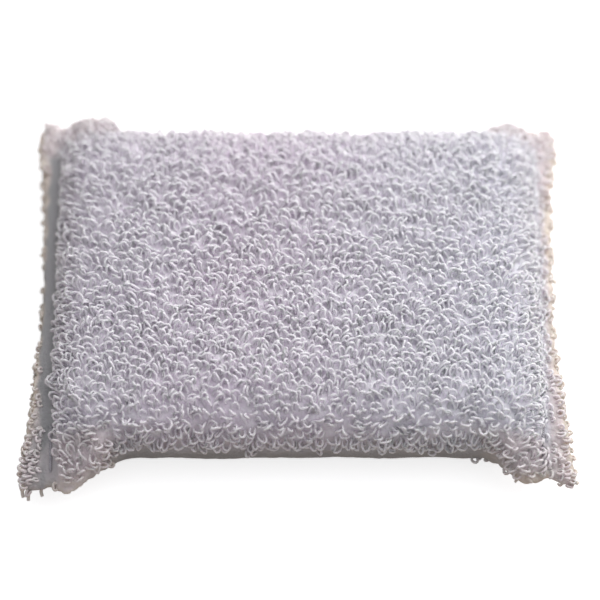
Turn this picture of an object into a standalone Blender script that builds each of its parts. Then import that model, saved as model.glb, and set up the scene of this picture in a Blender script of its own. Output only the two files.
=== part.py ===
"""Scrub pad: a foam block in a sleeve of looped terry towelling, both ends sewn flat.

Metres, +Z up, +X along the pad's length. The origin is under the pad's centre, on the surface it lies on.
"""

import math
from collections import namedtuple

import bmesh
import bpy
from mathutils import Vector

MM = 0.001

# The foam block inside
FOAM_LENGTH = 121.6 * MM
FOAM_WIDTH = 87.6 * MM
FOAM_HEIGHT = 20.6 * MM
CORE_CLEARANCE = 0.5 * MM

# The towelling, ground cloth and pile together
CLOTH_THICKNESS = 3.2 * MM
CORNER_REACH = 12 * MM  # how far in from an edge its rounding starts
BODY_SQUARENESS = 3.2  # exponent of the rounding: 2 is a circle, more is squarer
LAYER_GAP = 0.4 * MM  # between the two layers where they are sewn together

# The ears, where the sleeve is wider than the block once its end is sewn flat. The right end is sewn tighter.
LEFT_EAR_REACH = 12.5 * MM
RIGHT_EAR_REACH = 10 * MM
LEFT_EAR_RUN = 15 * MM  # length along the pad over which an ear grows
RIGHT_EAR_RUN = 9.5 * MM
EAR_SETBACK = 5.5 * MM  # from the ear's full reach to the seam
EAR_SQUARENESS = 1.6
EAR_SHARPNESS = 4  # exponent: more keeps the ear nearer to the middle of the height
EAR_DROOP = 6 * MM
EAR_PINCH = 2 * MM  # how far the seam draws the ear in

# The end seams and the flanges outside them
SEAM_STANDOFF = 0.8 * MM  # from the body's end to the needle holes
SEAM_HALF_THICKNESS = 2.2 * MM
FLANGE_WIDTH = 4.1 * MM  # from the needle holes to the rim
FRONT_FLARE = 6.2 * MM  # how much wider the flange is at the ears
BACK_FLARE = 5.4 * MM
FLANGE_CORNER = 10 * MM  # radius of the flange's round corners
FLANGE_MIDDLE = 0.65  # share of the flange's width at which it is thickest
FLANGE_HALF_THICKNESS = 3.0 * MM
FLANGE_SQUARENESS = 6
FLANGE_DROOP = 1.5 * MM
RIM_HALF_THICKNESS = 2.2 * MM
RUFFLE_HEIGHT = 0.8 * MM
RUFFLE_LENGTH = 38 * MM

# The pile, as tufts of a few loops each
TUFT_PITCH = 3.3 * MM
TUFT_RISE = 1.1 * MM
TUFT_HOLLOW = 1.3 * MM
TUFT_SCATTER = 0.25  # share of the pitch that a tuft may stand off its place
FLANGE_TUFT_SHARE = 0.25  # of a tuft's height, where the flange is pressed flat
LOOSE_SHARE = 0.5  # of the hollows that stay open at the edge of the resting face, all being closed at its middle

# The thread of each end seam
THREAD_RADIUS = 0.4 * MM
THREAD_CLEARANCE = 0.3 * MM
STITCH_BEND = 0.5 * MM  # how the thread's corner over a needle hole is cut short
NEEDLE_HOLE_PLAY = 0.2 * MM

TERRY_COLOUR = (0.80, 0.775, 0.845, 1.0)
FOAM_COLOUR = (0.86, 0.80, 0.58, 1.0)
THREAD_COLOUR = (0.86, 0.84, 0.86, 1.0)

CORE_INSET = CLOTH_THICKNESS + CORE_CLEARANCE
BODY_HALF_LENGTH = FOAM_LENGTH / 2 + CORE_INSET
BODY_HALF_WIDTH = FOAM_WIDTH / 2 + CORE_INSET
HALF_HEIGHT = FOAM_HEIGHT / 2 + CORE_INSET
SHOULDER_X = BODY_HALF_LENGTH - CORNER_REACH
SHOULDER_Y = BODY_HALF_WIDTH - CORNER_REACH
NEEDLE_HOLE_HALF = THREAD_RADIUS + THREAD_CLEARANCE + NEEDLE_HOLE_PLAY
SEAM_X = BODY_HALF_LENGTH + SEAM_STANDOFF + NEEDLE_HOLE_HALF
EAR_FULL_X = SEAM_X - EAR_SETBACK
EAR_START_X = EAR_FULL_X - max(LEFT_EAR_RUN, RIGHT_EAR_RUN)
EAR_TIP_Y = BODY_HALF_WIDTH + max(LEFT_EAR_REACH, RIGHT_EAR_REACH)

# One cross-section of the sleeve: its place along the pad, half height, how flat it is sewn (0 to 1), how far out
# on the flange it lies (0 at the seam, 1 at the rim), and whether it bounds the needle holes.
Station = namedtuple("Station", "x rise flat skirt needle", defaults=(0.0, 0.0, False))

# One place around a cross-section: y on the flat, then the side (-1 front, 1 back, 0 on the flat) and the angle
# up from the fold, which is a right angle on the flat.
Column = namedtuple("Column", "y side angle")

RIGHT_ANGLE = math.pi / 2
SHARP_ANGLE = math.radians(110)


def smooth_step(value, low, high):
    """0 below low, 1 above high, and an S-curve between them."""
    share = min(1.0, max(0.0, (value - low) / (high - low)))
    return share * share * (3 - 2 * share)


def mix(first, second, share):
    return first + (second - first) * share


def scatter(*counts):
    """A number from 0 to 1 that looks random, and is the same for the same counts."""
    value = math.sin(sum(count * factor for count, factor in zip(counts, (12.99, 78.23, 37.72)))) * 43758.55
    return value - math.floor(value)


def ear_growth(x):
    """How far the ears have grown at a place along the pad, from 0 to 1."""
    run = LEFT_EAR_RUN if x < 0 else RIGHT_EAR_RUN
    return smooth_step(abs(x), EAR_FULL_X - run, EAR_FULL_X)


def end_profile(inset, angle):
    """The pad's end seen from the front: angle runs from the seam's level up to the flat top."""
    power = 2 / BODY_SQUARENESS
    x = SHOULDER_X + (CORNER_REACH - inset) * math.cos(angle) ** power
    rise = (HALF_HEIGHT - inset) * math.sin(angle) ** power
    return x, rise


def side_profile(angle):
    """The pad's long side seen from its end, past the flat of the top."""
    power = 2 / BODY_SQUARENESS
    return CORNER_REACH * math.cos(angle) ** power, HALF_HEIGHT * math.sin(angle) ** power


def even_angles(profile, pitch, start):
    """Angles from a right angle down to start whose points lie about one pitch apart along the profile."""
    steps = 400
    angles = [mix(RIGHT_ANGLE, start, step / steps) for step in range(steps + 1)]
    points = [Vector(profile(angle)) for angle in angles]
    lengths = [0.0]
    for before, after in zip(points, points[1:]):
        lengths.append(lengths[-1] + (after - before).length)
    count = max(3, round(lengths[-1] / pitch))
    chosen = []
    for share in range(1, count + 1):
        target = lengths[-1] * share / count
        chosen.append(angles[min(range(steps + 1), key=lambda step: abs(lengths[step] - target))])
    return chosen


def end_stations(inset, pitch, floor):
    """Stations from the shoulder to where the pad's end has come down to the height floor."""
    top = HALF_HEIGHT - inset
    start = math.asin((floor / top) ** (BODY_SQUARENESS / 2))
    stations = [Station(SHOULDER_X, top)]
    for angle in even_angles(lambda a: end_profile(inset, a), pitch, start):
        x, rise = end_profile(inset, angle)
        stations.append(Station(x, rise, ((top - rise) / (top - floor)) ** 2))
    return stations


def seam_stations(seam_rise, flange_rise, rim_rise):
    """The two rows that bound the needle holes, then the flange out to its rim."""
    edges = (SEAM_X - NEEDLE_HOLE_HALF, SEAM_X + NEEDLE_HOLE_HALF)
    rows = [Station(x, seam_rise, 1.0, needle=True) for x in edges]
    return rows + [Station(edges[1], flange_rise, 1.0, FLANGE_MIDDLE), Station(edges[1], rim_rise, 1.0, 1.0)]


def both_ends(half):
    """The stations of one half of the pad, mirrored to make the whole."""
    mirrored = [station._replace(x=-station.x) for station in reversed(half) if station.x > 0]
    return mirrored + half


def sleeve_stations():
    cells = max(1, round(SHOULDER_X / TUFT_PITCH))
    flats = [SHOULDER_X * cell / cells for cell in range(cells)]
    half = [Station(x, HALF_HEIGHT) for x in flats]
    half += end_stations(0.0, TUFT_PITCH, SEAM_HALF_THICKNESS)
    half += seam_stations(SEAM_HALF_THICKNESS, FLANGE_HALF_THICKNESS, RIM_HALF_THICKNESS)
    return both_ends(half)


def pocket_stations():
    """The inside of the sleeve: a straight pocket for the foam, and a slit between the layers beyond it."""
    slit = LAYER_GAP / 2
    half = [Station(EAR_START_X, HALF_HEIGHT - CLOTH_THICKNESS)]
    half += end_stations(CLOTH_THICKNESS, CORNER_REACH / 4, slit)
    half += seam_stations(slit, slit, slit)
    return both_ends(half)


def foam_stations():
    top = HALF_HEIGHT - CORE_INSET
    half = [Station(EAR_START_X, top)]
    half += end_stations(CORE_INSET, CORNER_REACH / 4, top / 4)
    return both_ends(half)


def section_columns(pitch):
    """Places across the pad's upper half, from the front fold over the top to the back fold."""
    angles = even_angles(side_profile, pitch, 0.0)
    flats = 2 * round((2 * SHOULDER_Y / pitch - 1) / 2) + 1  # odd, so that both halves have the same needle holes
    columns = [Column(-SHOULDER_Y, -1, angle) for angle in reversed(angles)]
    columns += [Column(mix(-SHOULDER_Y, SHOULDER_Y, cell / flats), 0, RIGHT_ANGLE) for cell in range(flats + 1)]
    columns += [Column(SHOULDER_Y, 1, angle) for angle in angles]
    return columns


def between(first, second):
    """The place midway between two neighbouring columns."""
    return Column((first.y + second.y) / 2, first.side or second.side, (first.angle + second.angle) / 2)


def settle(point, skirt):
    """Lowers what nothing holds up: the ears sag, and the flange sags and ruffles."""
    out = smooth_step(abs(point.x), SHOULDER_X, SEAM_X)
    aside = max(0.0, (abs(point.y) - SHOULDER_Y) / (EAR_TIP_Y - SHOULDER_Y))
    ruffle = RUFFLE_HEIGHT * math.sin(2 * math.pi * point.y / RUFFLE_LENGTH + math.copysign(1.0, point.x))
    point.z += (ruffle - FLANGE_DROOP) * skirt - EAR_DROOP * out * aside**2
    return point


def flange_reach(y):
    """How far the flange's rim lies from the seam: it flares towards the ears and has round corners."""
    flare = FRONT_FLARE if y < 0 else BACK_FLARE
    width = FLANGE_WIDTH + flare * (abs(y) / EAR_TIP_Y) ** 3
    into_corner = min(1.0, max(0.0, (abs(y) - EAR_TIP_Y + FLANGE_CORNER) / FLANGE_CORNER))
    return width - FLANGE_CORNER * (1 - math.sqrt(1 - into_corner**2)) / 2


def sleeve_point(station, column, inset, level, eared=True):
    """A point of the sleeve. Level is 1 on the upper half and -1 on the lower one."""
    growth = ear_growth(station.x)
    body = mix(BODY_SQUARENESS, EAR_SQUARENESS, growth)
    across = 2 / mix(body, 2.0, station.flat)
    upward = 2 / mix(body, FLANGE_SQUARENESS, station.flat)
    cosine = max(0.0, math.cos(column.angle))
    sine = max(0.0, math.sin(column.angle))
    reach = LEFT_EAR_REACH if station.x < 0 else RIGHT_EAR_REACH
    ear = reach * growth - EAR_PINCH * station.flat * (1 - station.skirt) if eared else 0.0
    y = column.y + column.side * ((CORNER_REACH - inset) * cosine**across + ear * cosine**EAR_SHARPNESS)
    z = HALF_HEIGHT + level * station.rise * sine**upward
    x = math.copysign(abs(station.x) + station.skirt * flange_reach(y), station.x)
    return Vector((x, y, z))


def rings_of(stations, columns, inset, eared=True):
    """Rings of points, one for each station, from the front fold over the top and back along the underside."""
    rings = []
    for station in stations:
        upper = [sleeve_point(station, column, inset, 1, eared) for column in columns]
        lower = [sleeve_point(station, column, inset, -1, eared) for column in columns[-2:0:-1]]
        ring = upper + lower
        if station.needle:
            square_needle_holes(ring, station, columns, inset)
        rings.append([settle(point, station.skirt) for point in ring])
    return rings


def hole_cells(columns):
    """Every other cell of the seam row has a needle hole, through both layers."""
    return range(2, len(columns) - 3, 2)


def square_needle_holes(ring, station, columns, inset):
    """Draws the columns on both sides of each needle hole in to the hole's width."""
    count = len(ring)
    for cell in hole_cells(columns):
        middle = between(columns[cell], columns[cell + 1])
        y = sleeve_point(station, middle, 0.0, 1).y
        for level, first, second in ((1, cell, cell + 1), (-1, count - cell, count - cell - 1)):
            z = sleeve_point(station, middle, inset, level).z
            for index, offset in ((first, -NEEDLE_HOLE_HALF), (second, NEEDLE_HOLE_HALF)):
                ring[index] = Vector((station.x, y + offset, z))


def is_pressed(point, share):
    """Whether the pad's weight has closed this hollow of the underside, surely so in the middle."""
    aside = max(abs(point.x) / SHOULDER_X, abs(point.y) / SHOULDER_Y)
    return point.z < CLOTH_THICKNESS and aside <= 1.0 and share > LOOSE_SHARE * aside


def tuft(rings, i, j, flat):
    """The pile's surface at one point of the grid: a tuft's crown or the hollow between tufts."""
    count = len(rings[0])
    along = rings[min(i + 1, len(rings) - 1)][j] - rings[max(i - 1, 0)][j]
    around = rings[i][(j + 1) % count] - rings[i][j - 1]
    outward = along.cross(around).normalized() * -1
    crown = (i + j) % 2 == 0
    height = TUFT_RISE * mix(0.6, 1.0, scatter(i, j, 1)) if crown else -TUFT_HOLLOW * scatter(i, j, 2)
    if is_pressed(rings[i][j], scatter(i, j, 2)):
        height = 0.0
    height *= mix(1.0, FLANGE_TUFT_SHARE, flat)
    spread = TUFT_PITCH * TUFT_SCATTER * (1 - flat)
    aside = along.normalized() * (scatter(i, j, 3) - 0.5) + around.normalized() * (scatter(i, j, 4) - 0.5)
    return rings[i][j] + outward * height + aside * spread


def pile_rings(rings, stations):
    """The smooth rings with tufts raised on them, pressed flat where the pad rests."""
    piled = []
    for i, station in enumerate(stations):
        if station.needle:
            piled.append([point.copy() for point in rings[i]])
            continue
        piled.append([tuft(rings, i, j, station.flat) for j in range(len(rings[i]))])
    for ring in piled:
        for point in ring:
            point.z = max(point.z, 0.0)
    return piled


def add_skin(bm, rings, open_cells=()):
    """Faces between neighbouring rings, split so that each tuft is a point of its own. Open cells are left out."""
    verts = [[bm.verts.new(point) for point in ring] for ring in rings]
    count = len(rings[0])
    for i in range(len(rings) - 1):
        for j in range(count):
            if (i, j) in open_cells:
                continue
            after = (j + 1) % count
            corners = [verts[i][j], verts[i][after], verts[i + 1][after], verts[i + 1][j]]
            if (i + j) % 2 == 0:
                corners = corners[1:] + corners[:1]
            bm.faces.new((corners[0], corners[1], corners[2]))
            bm.faces.new((corners[0], corners[2], corners[3]))
    return verts


def needle_cells(stations, columns):
    """The cells of a grid that are needle holes, on both layers."""
    count = 2 * (len(columns) - 1)
    rows = [i for i in range(len(stations) - 1) if stations[i].needle and stations[i + 1].needle]
    return [(i, cell) for i in rows for j in hole_cells(columns) for cell in (j, count - j - 1)]


def add_band(bm, first, second):
    """A strip of faces that joins two loops of the same length."""
    count = len(first)
    for j in range(count):
        after = (j + 1) % count
        bm.faces.new((first[j], first[after], second[after], second[j]))


def cell_corners(verts, i, j):
    after = (j + 1) % len(verts[0])
    return [verts[i][j], verts[i][after], verts[i + 1][after], verts[i + 1][j]]


def finish_mesh(name, bm, material):
    bmesh.ops.recalc_face_normals(bm, faces=bm.faces)
    mesh = bpy.data.meshes.new(name)
    bm.to_mesh(mesh)
    bm.free()
    mesh.materials.append(material)
    mesh.shade_smooth()
    mesh.set_sharp_from_angle(angle=SHARP_ANGLE)
    piece = bpy.data.objects.new(name, mesh)
    bpy.context.collection.objects.link(piece)
    return piece


def build_cover(material):
    """The sleeve: an outer skin of pile and an inner skin, joined at the two rims and in every needle hole."""
    columns = section_columns(TUFT_PITCH)
    skins = []
    bm = bmesh.new()
    for stations, inset in ((sleeve_stations(), 0.0), (pocket_stations(), CLOTH_THICKNESS)):
        rings = rings_of(stations, columns, inset)
        if not inset:
            rings = pile_rings(rings, stations)
        cells = needle_cells(stations, columns)
        skins.append((add_skin(bm, rings, set(cells)), cells))
    (outer, outer_cells), (inner, inner_cells) = skins
    add_band(bm, outer[0], inner[0])
    add_band(bm, outer[-1], inner[-1])
    for (i, j), (k, m) in zip(outer_cells, inner_cells):
        add_band(bm, cell_corners(outer, i, j), cell_corners(inner, k, m))
    return finish_mesh("terry_cover", bm, material)


def build_foam(material):
    """The block, its edges and corners pressed round by the sleeve."""
    bm = bmesh.new()
    rings = rings_of(foam_stations(), section_columns(2 * SHOULDER_Y), CORE_INSET, eared=False)
    verts = add_skin(bm, rings)
    bm.faces.new(verts[0])
    bm.faces.new(verts[-1])
    return finish_mesh("foam_core", bm, material)


def hole_middle(station, place):
    """The middle of a needle hole, between the two layers, where the thread's end is trimmed."""
    return sleeve_point(station, place, 0.0, 1).lerp(sleeve_point(station, place, 0.0, -1), 0.5)


def seam_route(side):
    """The running stitch of one end seam: over the cloth from one needle hole to the next, then under it."""
    columns = section_columns(TUFT_PITCH)
    station = Station(side * SEAM_X, SEAM_HALF_THICKNESS + THREAD_CLEARANCE + THREAD_RADIUS, 1.0)
    places = [between(columns[cell], columns[cell + 1]) for cell in hole_cells(columns)]
    route = [hole_middle(station, places[0])]
    for number, (before, after) in enumerate(zip(places, places[1:])):
        level = 1 if number % 2 == 0 else -1
        first = sleeve_point(station, before, 0.0, level)
        last = sleeve_point(station, after, 0.0, level)
        down = Vector((0.0, 0.0, -level * STITCH_BEND))
        inward = (last - first).normalized() * STITCH_BEND
        route += [first + down, first + inward, last - inward, last + down]
    route.append(hole_middle(station, places[-1]))
    return [settle(point, station.skirt) for point in route]


def build_thread(name, side, material):
    curve = bpy.data.curves.new(name, "CURVE")
    curve.dimensions = "3D"
    curve.bevel_depth = THREAD_RADIUS
    curve.bevel_resolution = 1
    curve.use_fill_caps = True
    route = seam_route(side)
    spline = curve.splines.new("POLY")
    spline.points.add(len(route) - 1)
    for point, place in zip(spline.points, route):
        point.co = (*place, 1.0)
    curve.materials.append(material)
    piece = bpy.data.objects.new(name, curve)
    bpy.context.collection.objects.link(piece)
    return piece


def make_material(name, colour, roughness):
    material = bpy.data.materials.new(name)
    material.use_nodes = True
    shader = material.node_tree.nodes["Principled BSDF"]
    shader.inputs["Base Color"].default_value = colour
    shader.inputs["Roughness"].default_value = roughness
    shader.inputs["Metallic"].default_value = 0.0
    return material


def main():
    for piece in list(bpy.data.objects):
        bpy.data.objects.remove(piece, do_unlink=True)
    terry = make_material("terry_cloth", TERRY_COLOUR, 0.95)
    foam = make_material("foam", FOAM_COLOUR, 0.9)
    thread = make_material("sewing_thread", THREAD_COLOUR, 0.8)
    build_foam(foam)
    build_cover(terry)
    build_thread("left_seam_thread", -1, thread)
    build_thread("right_seam_thread", 1, thread)


main()
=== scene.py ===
# %% [markdown]
# # A terry scrub pad
# The pad is a block of foam in a sleeve of terry cloth. Terry is a plain ground cloth with long loops of yarn left
# standing on it. From a step away the loops are the whole look, so this script spends its detail on them: first the
# ground cloth, puffed up by a cloth simulation, then about seven thousand loops grown on it by Geometry Nodes.

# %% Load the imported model
import math

import bmesh
import bpy
import numpy as np
from mathutils import Matrix, Vector, noise


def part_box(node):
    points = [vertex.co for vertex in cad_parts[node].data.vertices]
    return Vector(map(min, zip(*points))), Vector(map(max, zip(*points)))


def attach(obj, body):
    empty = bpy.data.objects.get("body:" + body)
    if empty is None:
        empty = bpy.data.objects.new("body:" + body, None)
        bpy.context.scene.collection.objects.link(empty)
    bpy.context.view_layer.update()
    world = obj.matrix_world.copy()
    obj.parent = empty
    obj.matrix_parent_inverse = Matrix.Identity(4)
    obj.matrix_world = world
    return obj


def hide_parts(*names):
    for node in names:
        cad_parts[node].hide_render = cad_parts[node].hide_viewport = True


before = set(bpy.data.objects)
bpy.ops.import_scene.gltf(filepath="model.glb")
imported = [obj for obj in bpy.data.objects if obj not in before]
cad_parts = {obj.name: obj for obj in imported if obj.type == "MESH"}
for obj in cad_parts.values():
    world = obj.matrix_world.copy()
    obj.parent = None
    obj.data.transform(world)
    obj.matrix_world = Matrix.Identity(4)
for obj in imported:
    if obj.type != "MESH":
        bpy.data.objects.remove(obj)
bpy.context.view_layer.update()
MM = 0.001
scene = bpy.context.scene
COVER_HIGH = Vector(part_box("terry_cover")[1])
FOAM_LOW, FOAM_HIGH = (Vector(corner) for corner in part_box("foam_core"))
SEAM_LOW, SEAM_HIGH = (Vector(corner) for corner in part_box("right_seam_thread"))
SEAM_X = (SEAM_LOW.x + SEAM_HIGH.x) / 2
PAD_HEIGHT = FOAM_LOW.z + FOAM_HIGH.z
print("pad height in mm:", round(PAD_HEIGHT / MM, 1), "and the seams at x in mm:", round(SEAM_X / MM, 1))

# %% [markdown]
# ## Node helpers
# The room, the materials and the loops are all trees of nodes. These helpers add one node each. An input may be
# given as a plain value or as another node's output, which is then linked to it.

# %% Helpers for objects and nodes


def put_in_scene(name, data):
    thing = bpy.data.objects.new(name, data)
    scene.collection.objects.link(thing)
    return thing


def feed(tree, socket, value):
    """Gives a socket a link from another socket or a plain value, or leaves it alone if there is none."""
    if isinstance(value, bpy.types.NodeSocket):
        tree.links.new(value, socket)
    elif value is not None:
        socket.default_value = value


def add(tree, kind, settings=None, **values):
    """A node with its settings, and its inputs given by name or identifier."""
    node = tree.nodes.new(kind)
    for name, value in (settings or {}).items():
        setattr(node, name, value)
    for name, value in values.items():
        label = name.replace("_", " ").lower()
        feed(tree, next(s for s in node.inputs if s.enabled and label in (s.name.lower(), s.identifier.lower())), value)
    return node


def out(node, name=None):
    """The node's first enabled output, or the one of that name."""
    return next(s for s in node.outputs if s.enabled and name in (None, s.name))


def calc(tree, operation, first, second=None, clamp=False):
    node = add(tree, "ShaderNodeMath", {"operation": operation, "use_clamp": clamp})
    for socket, value in zip(node.inputs, (first, second)):
        feed(tree, socket, value)
    return node.outputs[0]


print("helpers ready: put_in_scene, feed, add, out, calc")

# %% [markdown]
# ## The view
# The photograph looks down on the pad from the front, from not quite a metre away. These values were found by
# laying the model's outline over the pad's outline in the photograph. The far rim is a little out of focus there, so
# the camera focuses on a point on the top, in front of the middle.

# %% Camera
VIEW_ELEVATION = math.radians(60.5)
VIEW_DISTANCE = 0.754
PIXELS_PER_METRE = 3603  # at the middle of the pad
FRAME_WIDTH = 600
PAD_MIDDLE_PIXEL = (297.2, 294.1)
SENSOR_WIDTH = 36.0
NEAREST_SEEN = 0.01
F_NUMBER = 6.5
FOCUS_POINT = Vector((0, -20 * MM, PAD_HEIGHT))


def add_camera():
    data = bpy.data.cameras.new("view")
    data.sensor_fit = "HORIZONTAL"
    data.sensor_width = SENSOR_WIDTH
    data.lens = PIXELS_PER_METRE * VIEW_DISTANCE / FRAME_WIDTH * SENSOR_WIDTH
    data.clip_start = NEAREST_SEEN
    camera = put_in_scene("view", data)
    turn = Matrix.Rotation(math.pi / 2 - VIEW_ELEVATION, 4, "X")
    right, up, back = (turn.col[i].to_3d() for i in range(3))
    aside = (FRAME_WIDTH / 2 - PAD_MIDDLE_PIXEL[0]) / PIXELS_PER_METRE
    above = (PAD_MIDDLE_PIXEL[1] - FRAME_WIDTH / 2) / PIXELS_PER_METRE
    target = Vector((0, 0, PAD_HEIGHT / 2)) + right * aside + up * above
    camera.matrix_world = Matrix.Translation(target + back * VIEW_DISTANCE) @ turn
    focus = put_in_scene("focus", None)
    focus.location = FOCUS_POINT
    data.dof.use_dof = True
    data.dof.focus_object = focus
    data.dof.aperture_fstop = F_NUMBER
    scene.camera = camera
    return camera


camera = add_camera()
print("lens in mm:", round(camera.data.lens, 1))

# %% [markdown]
# ## Light and floor
# A soft window behind and to the right of the pad lights the photograph: the far right corner is the brightest, and
# the near side and the left seam lie in shade. One large lamp stands for the window, a weaker one higher up on the
# same side for the ceiling, and a dim pale world for the rest of the room. The camera sees plain white behind the pad.

# %% Lights
WINDOW = {"place": Vector((0.20, 0.24, 0.27)), "size": 0.60, "power": 1.82, "colour": (1.0, 0.985, 0.97)}
CEILING = {"place": Vector((0.15, 0.12, 0.36)), "size": 0.55, "power": 0.60, "colour": (0.97, 0.98, 1.0)}
ROOM_STRENGTH = 0.46
ROOM_PALE = (0.96, 0.97, 1.0, 1.0)
WHITE = (1, 1, 1, 1)


def add_lamp(name, place, size, power, colour):
    """A square lamp that faces the pad."""
    data = bpy.data.lights.new(name, "AREA")
    data.shape = "SQUARE"
    data.size = size
    data.energy = power
    data.color = colour
    lamp = put_in_scene(name, data)
    lamp.location = place
    lamp.rotation_euler = (-place).to_track_quat("-Z", "Y").to_euler()


def one_for_camera(tree, to_light, to_camera):
    """One shader for the light that bounces about, and another for what the camera sees straight on."""
    path = tree.nodes.new("ShaderNodeLightPath")
    mix = tree.nodes.new("ShaderNodeMixShader")
    tree.links.new(path.outputs["Is Camera Ray"], mix.inputs["Fac"])
    tree.links.new(to_light.outputs[0], mix.inputs[1])
    tree.links.new(to_camera.outputs[0], mix.inputs[2])
    return mix.outputs[0]


def set_world():
    world = bpy.data.worlds.new("room")
    scene.world = world
    world.use_nodes = True
    tree = world.node_tree
    background = tree.nodes["Background"]
    background.inputs["Color"].default_value = ROOM_PALE
    background.inputs["Strength"].default_value = ROOM_STRENGTH
    white = add(tree, "ShaderNodeBackground", Color=WHITE)
    tree.links.new(one_for_camera(tree, background, white), tree.nodes["World Output"].inputs["Surface"])


add_lamp("window", **WINDOW)
add_lamp("ceiling", **CEILING)
set_world()
print("lamps: window and ceiling")

# %% [markdown]
# The floor looks white to the camera, since it glows a little on top of the light it gets, but it keeps a soft
# shadow. To the light it is a warm table, and sends warm light back up at the pad.

# %% Floor
FLOOR_SIZE = 3.0
FLOOR_PALE = (0.86, 0.86, 0.86, 1.0)
FLOOR_GLOW = 0.70
TABLE_WARM = (0.42, 0.34, 0.27, 1.0)


def add_floor():
    material = bpy.data.materials.new("floor")
    material.use_nodes = True
    tree = material.node_tree
    tree.nodes.clear()
    pale = add(tree, "ShaderNodeBsdfDiffuse", Color=FLOOR_PALE)
    glow = add(tree, "ShaderNodeEmission", Strength=FLOOR_GLOW)
    seen = tree.nodes.new("ShaderNodeAddShader")
    tree.links.new(pale.outputs[0], seen.inputs[0])
    tree.links.new(glow.outputs[0], seen.inputs[1])
    warm = add(tree, "ShaderNodeBsdfDiffuse", Color=TABLE_WARM)
    output = tree.nodes.new("ShaderNodeOutputMaterial")
    tree.links.new(one_for_camera(tree, warm, seen), output.inputs["Surface"])
    mesh = bpy.data.meshes.new("floor")
    half = FLOOR_SIZE / 2
    mesh.from_pydata([(-half, -half, 0), (half, -half, 0), (half, half, 0), (-half, half, 0)], [], [(0, 1, 2, 3)])
    mesh.materials.append(material)
    floor = put_in_scene("floor", mesh)


add_floor()
scene.view_settings.view_transform = "Standard"
print("floor in metres:", FLOOR_SIZE)

# %% [markdown]
# ## Materials
# The yarn is soft-spun cotton, off-white with a lilac cast that turns pinker to the left and bluer to the right. The
# flanges are creamier, and their rims carry a painted beige reflection of the warm table. Close to the floor a painted
# brown shade darkens the cloth. The cloth and the loops share this tint, so it gets a function.

# %% Terry colour
LILAC_WHITE = (0.88, 0.836, 0.905, 1.0)
PINK_WHITE = (0.89, 0.81, 0.90, 1.0)
BLUE_WHITE = (0.86, 0.865, 0.93, 1.0)
PINK_CREAM = (0.80, 0.71, 0.715, 1.0)
# Painted reflection of the warm table on the rims.
PAINTED_RIM_REFLECTION = (0.80, 0.70, 0.59, 1.0)
# Painted brown shade close to the floor, with the warm table's reflection in it.
PAINTED_LOW_SHADE_BROWN = (0.60, 0.54, 0.50, 1.0)
CLOUD_SCALE = 22
PINK_MIDDLE = -18 * MM
PINK_GAIN = 1.6
PINK_FLOOR = 0.1
PINK_FADE = 18.0  # for each metre from the pink's middle
BLUE_RISE = 11.0  # for each metre to the right
# How high and how strongly the painted brown shade climbs from the floor.
PAINTED_LOW_SHADE_HEIGHT = 10 * MM
PAINTED_LOW_SHADE_SHARE = 0.7


def new_material(name):
    material = bpy.data.materials.new(name)
    material.use_nodes = True
    return material, material.node_tree, material.node_tree.nodes["Principled BSDF"]


def mix_colour(tree, factor, first, second):
    node = add(tree, "ShaderNodeMix", {"data_type": "RGBA"})
    for name, value in (("Factor_Float", factor), ("A_Color", first), ("B_Color", second)):
        feed(tree, next(s for s in node.inputs if s.identifier == name), value)
    return next(s for s in node.outputs if s.identifier == "Result_Color")


def attribute(tree, name, form="Fac"):
    return add(tree, "ShaderNodeAttribute", {"attribute_name": name}).outputs[form]


def own_place(tree):
    """Where a point is on the pad, whichever way the pad lies."""
    return tree.nodes.new("ShaderNodeTexCoord").outputs["Object"]


def terry_tint_with_painted_light(tree):
    """The cloth's tint by place: pinker patches, bluer to the right, cream on the flanges and ears, a painted beige
    reflection on the rims and painted brown shade close to the floor.
    """
    place = own_place(tree)
    split = add(tree, "ShaderNodeSeparateXYZ", Vector=place)
    cloud = add(tree, "ShaderNodeTexNoise", Vector=place, Scale=CLOUD_SCALE, Detail=1)
    beside = calc(tree, "ABSOLUTE", calc(tree, "SUBTRACT", split.outputs["X"], PINK_MIDDLE))
    pinkness = calc(tree, "SUBTRACT", calc(tree, "MULTIPLY", cloud.outputs["Fac"], PINK_GAIN), PINK_FLOOR)
    pinkness = calc(tree, "SUBTRACT", pinkness, calc(tree, "MULTIPLY", beside, PINK_FADE), clamp=True)
    blueness = calc(tree, "MULTIPLY", split.outputs["X"], BLUE_RISE, clamp=True)
    colour = mix_colour(tree, pinkness, LILAC_WHITE, PINK_WHITE)
    colour = mix_colour(tree, blueness, colour, BLUE_WHITE)
    colour = mix_colour(tree, attribute(tree, "cream"), colour, PINK_CREAM)
    # Painted beige reflection on the rims.
    colour = mix_colour(tree, attribute(tree, "rim"), colour, PAINTED_RIM_REFLECTION)
    # Painted shade: the cloth turns brown towards the floor.
    low = calc(tree, "SUBTRACT", 1.0, calc(tree, "DIVIDE", split.outputs["Z"], PAINTED_LOW_SHADE_HEIGHT), clamp=True)
    return mix_colour(tree, calc(tree, "MULTIPLY", low, PAINTED_LOW_SHADE_SHARE), colour, PAINTED_LOW_SHADE_BROWN)


print("the brown close to the floor ends at this height, in mm:", round(PAINTED_LOW_SHADE_HEIGHT / MM, 1))

# %% [markdown]
# Each loop is a little darker at its feet, a painted shade where it meets the cloth, and its top is whiter by an
# amount of its own, a painted highlight. A spiral bump round the yarn shows its two plies. The bump needs to know where
# it is along and around the yarn, so the loops carry that as attributes. Cotton also lets light through, which softens
# the shade between the loops.

# %% Yarn
PLIES = 2.0
PLY_LENGTH = 1.1 * MM
YARN_BUMP = 0.10 * MM
YARN_BUMP_STRENGTH = 0.4
# Painted shade at the loops' feet.
PAINTED_FEET_SHADE_SHARE = 0.12
PAINTED_FEET_SHADE_GREY = (0.25, 0.24, 0.26, 1.0)
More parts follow.
